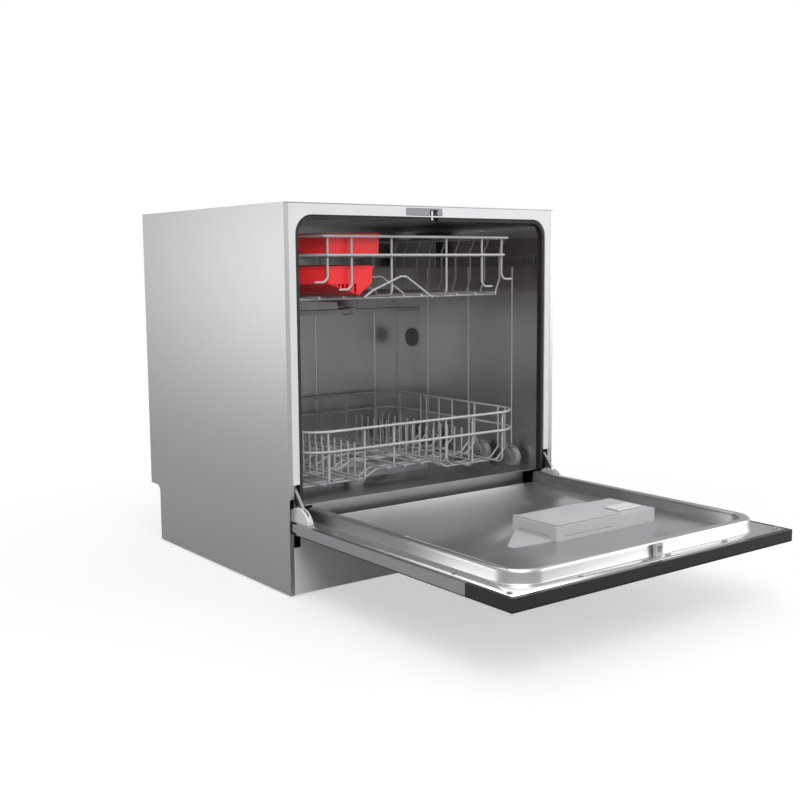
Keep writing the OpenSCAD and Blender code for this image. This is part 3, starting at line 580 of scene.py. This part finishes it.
def wheelProfile(plan, radius):
    wide, web = plan["wide"], plan["wide"] - plan["web"]
    inner = [(radius * far, wide * along) for far, along in reversed(plan["rounding"])]
    outer = [(across, wide - along) for across, along in reversed(inner)]
    face = [(radius * plan["rim"][0], wide), (radius * plan["rim"][1], web), (radius * plan["slot"][0], web),
            (radius * plan["slot"][1], web), (radius * plan["hub"][0], web), (radius * plan["hub"][1], wide)]
    return [(plan["bore"], 0.0)] + inner + outer + face + [(plan["bore"], wide)]


def webFaces(built, middle, webX, radius, plan):
    chosen = []
    for face in built.faces:
        spot = face.calc_center_median()
        across = math.hypot(spot.y - middle.y, spot.z - middle.z) / radius
        if abs(spot.x - webX) < cutting["same"] and plan["slot"][1] < across < plan["slot"][0]:
            turn = math.atan2(spot.z - middle.z, spot.y - middle.y) % (2 * math.pi)
            step = int(turn / (2 * math.pi) * plan["segments"])
            if step % plan["slotEvery"] < plan["slotFaces"]:
                chosen.append(face)
    return chosen


def makeWheels(node, body, plan):
    low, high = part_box(node)
    middle = (Vector(low) + Vector(high)) / 2
    radius = (high[2] - low[2]) / 2
    profile = wheelProfile(plan, radius)
    built = bmesh.new()
    for side in (-1.0, 1.0):
        ring = [built.verts.new((side * (high[0] - plan["wide"] + along), middle.y + across, middle.z))
                for across, along in profile]
        edges = [built.edges.new(pair) for pair in zip(ring, ring[1:] + ring[:1])]
        bmesh.ops.spin(built, geom=ring + edges, cent=(0.0, middle.y, middle.z), axis=(1.0, 0.0, 0.0),
                       dvec=(0.0, 0.0, 0.0), angle=2 * math.pi, space=Matrix.Identity(4),
                       steps=plan["segments"], use_merge=True, use_normal_flip=False, use_duplicate=False)
        bmesh.ops.recalc_face_normals(built, faces=built.faces)
        webs = webFaces(built, middle, side * (high[0] - plan["web"]), radius, plan)
        pressIn(built, webs, plan["slotDeep"], cutting["slotEdge"])
    wheels = newPiece(node + "Turned", built, "grey_plastic", body, 30.0)
    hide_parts(node)


for node, body in wheelBodies.items():
    makeWheels(node, body, wheelPlan)
print("wheels turned")

# wheel brackets: a slim arm, the axle and a small hood over each wheel

bracketPlan = {"arm": (0.2492, 0.2520), "axle": (0.2492, 0.2660), "axleRadius": 0.003, "hood": (0.2510, 0.2650),
               "axleTurn": (0, 345), "axleSteps": 23, "hoodTurn": (40, 105), "hoodClear": (0.0014, 0.0030),
               "hoodSteps": 12, "bevel": 0.0004,
               "outline": [(-0.005, -0.0045), (0.005, -0.0045), (0.024, 0.0205), (0.024, 0.0310), (0.013, 0.0310),
                           (-0.006, 0.0050)]}


def prismAlongX(built, outline, ends, side):
    face = built.faces.new([built.verts.new((side * ends[0], y, z)) for y, z in outline])
    made = bmesh.ops.extrude_face_region(built, geom=[face])
    for item in made["geom"]:
        if isinstance(item, bmesh.types.BMVert):
            item.co.x = side * ends[1]


def arcPoints(middle, radius, turns, steps):
    first, last = math.radians(turns[0]), math.radians(turns[1])
    angles = [first + (last - first) * step / steps for step in range(steps + 1)]
    return [(middle.y + radius * math.cos(angle), middle.z + radius * math.sin(angle)) for angle in angles]


def makeBrackets(plan):
    built = bmesh.new()
    for node in wheelBodies:
        low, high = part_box(node)
        middle = (Vector(low) + Vector(high)) / 2
        radius = (high[2] - low[2]) / 2
        arm = [(middle.y + y, middle.z + z) for y, z in plan["outline"]]
        pin = arcPoints(middle, plan["axleRadius"], plan["axleTurn"], plan["axleSteps"])
        near, far = [radius + clear for clear in plan["hoodClear"]]
        hood = arcPoints(middle, far, plan["hoodTurn"], plan["hoodSteps"])
        hood += reversed(arcPoints(middle, near, plan["hoodTurn"], plan["hoodSteps"]))
        for side in (-1.0, 1.0):
            prismAlongX(built, arm, plan["arm"], side)
            prismAlongX(built, pin, plan["axle"], side)
            prismAlongX(built, hood, plan["hood"], side)
    bmesh.ops.recalc_face_normals(built, faces=built.faces)
    brackets = newPiece("wheelArms", built, "grey_plastic", "lower_rack")
    addBevel(brackets, plan["bevel"], 1)
    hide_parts("wheel_brackets")


makeBrackets(bracketPlan)
print("brackets made")

# soft edges on the boxy parts

softWidths = {"latch_housing": 0.0008, "door_end_cap": 0.0006, "hinge_covers": 0.0010, "rinse_lever": 0.0012,
              "dispenser_lid": 0.0008, "front_frame": 0.0006, "toe_kick": 0.0006, "top_panel": 0.0006}
for name, width in softWidths.items():
    softenNode(name, width)
print("edges softened")

# stage: white where the camera sees it, grey where it lights the machine

floorPlan = {"half": 12.0, "below": 0.0005, "seen": 0.86, "cast": 0.36, "fade": (0.2, 1.3), "lift": 0.55}


def addFloor(plan):
    mesh = bpy.data.meshes.new("stageFloor")
    built = bmesh.new()
    bmesh.ops.create_grid(built, x_segments=1, y_segments=1, size=plan["half"])
    bmesh.ops.translate(built, vec=(0.0, 0.0, -plan["below"]), verts=built.verts)
    built.to_mesh(mesh)
    built.free()
    floor = bpy.data.objects.new("stageFloor", mesh)
    scene.collection.objects.link(floor)
    material = newMaterial("stageFloor", (plan["seen"],) * 3, 0.9)
    nodes, links = material.node_tree.nodes, material.node_tree.links
    shader, output = nodes["Principled BSDF"], nodes["Material Output"]
    path = addNode(material, "ShaderNodeLightPath")
    tone = addNode(material, "ShaderNodeMix", data_type="RGBA")
    tone.inputs["A"].default_value = (plan["cast"], plan["cast"], plan["cast"], 1.0)
    tone.inputs["B"].default_value = (plan["seen"], plan["seen"], plan["seen"], 1.0)
    links.new(path.outputs["Is Camera Ray"], tone.inputs["Factor"])
    links.new(tone.outputs["Result"], shader.inputs["Base Color"])
    place = addNode(material, "ShaderNodeTexCoord")
    far = addNode(material, "ShaderNodeVectorMath", operation="LENGTH")
    links.new(place.outputs["Object"], far.inputs[0])
    fade = addNode(material, "ShaderNodeMapRange", interpolation_type="SMOOTHSTEP")
    fade.inputs["From Min"].default_value, fade.inputs["From Max"].default_value = plan["fade"]
    fade.inputs["To Min"].default_value = plan["lift"]
    links.new(far.outputs["Value"], fade.inputs["Value"])
    seen = addNode(material, "ShaderNodeMath", operation="MULTIPLY")
    links.new(fade.outputs["Result"], seen.inputs[0])
    links.new(path.outputs["Is Camera Ray"], seen.inputs[1])
    glow = addNode(material, "ShaderNodeEmission", Strength=1.0)
    blend = addNode(material, "ShaderNodeMixShader")
    links.new(seen.outputs["Value"], blend.inputs["Fac"])
    links.new(shader.outputs["BSDF"], blend.inputs[1])
    links.new(glow.outputs["Emission"], blend.inputs[2])
    links.new(blend.outputs["Shader"], output.inputs["Surface"])
    mesh.materials.append(material)


lightAim = (0.0, 0.0, 0.3)
lightPlan = [
    {"name": "keyLight", "at": (-1.5, -2.5, 3.3), "size": (2.2, 2.2), "power": 105.0},
    {"name": "rightFrontLight", "at": (2.8, -2.2, 1.3), "size": (2.4, 2.6), "power": 50.0},
    {"name": "topLight", "at": (0.0, 0.2, 3.2), "size": (3.0, 3.0), "power": 32.0},
    {"name": "leftBackLight", "at": (-3.2, 2.4, 0.5), "size": (3.4, 1.2), "power": 26.0},
]


def addLight(plan):
    data = bpy.data.lights.new(plan["name"], "AREA")
    data.shape = "RECTANGLE"
    data.size, data.size_y = plan["size"]
    data.energy = plan["power"]
    light = bpy.data.objects.new(plan["name"], data)
    light.location = plan["at"]
    aim = Vector(lightAim) - Vector(plan["at"])
    light.rotation_euler = aim.to_track_quat("-Z", "Y").to_euler()
    scene.collection.objects.link(light)


worldPlan = {"seen": 1.0, "cast": 0.46}


def addWorld(plan):
    world = bpy.data.worlds.new("studio")
    scene.world = world
    world.use_nodes = True
    nodes, links = world.node_tree.nodes, world.node_tree.links
    back = nodes["Background"]
    back.inputs["Strength"].default_value = 1.0
    path = nodes.new("ShaderNodeLightPath")
    mix = nodes.new("ShaderNodeMix")
    mix.data_type = "RGBA"
    mix.inputs["A"].default_value = (plan["cast"], plan["cast"], plan["cast"], 1.0)
    mix.inputs["B"].default_value = (plan["seen"], plan["seen"], plan["seen"], 1.0)
    links.new(path.outputs["Is Camera Ray"], mix.inputs["Factor"])
    links.new(mix.outputs["Result"], back.inputs["Color"])


addFloor(floorPlan)
for plan in lightPlan:
    addLight(plan)
addWorld(worldPlan)
scene.view_settings.view_transform = "Standard"
print("stage lit")
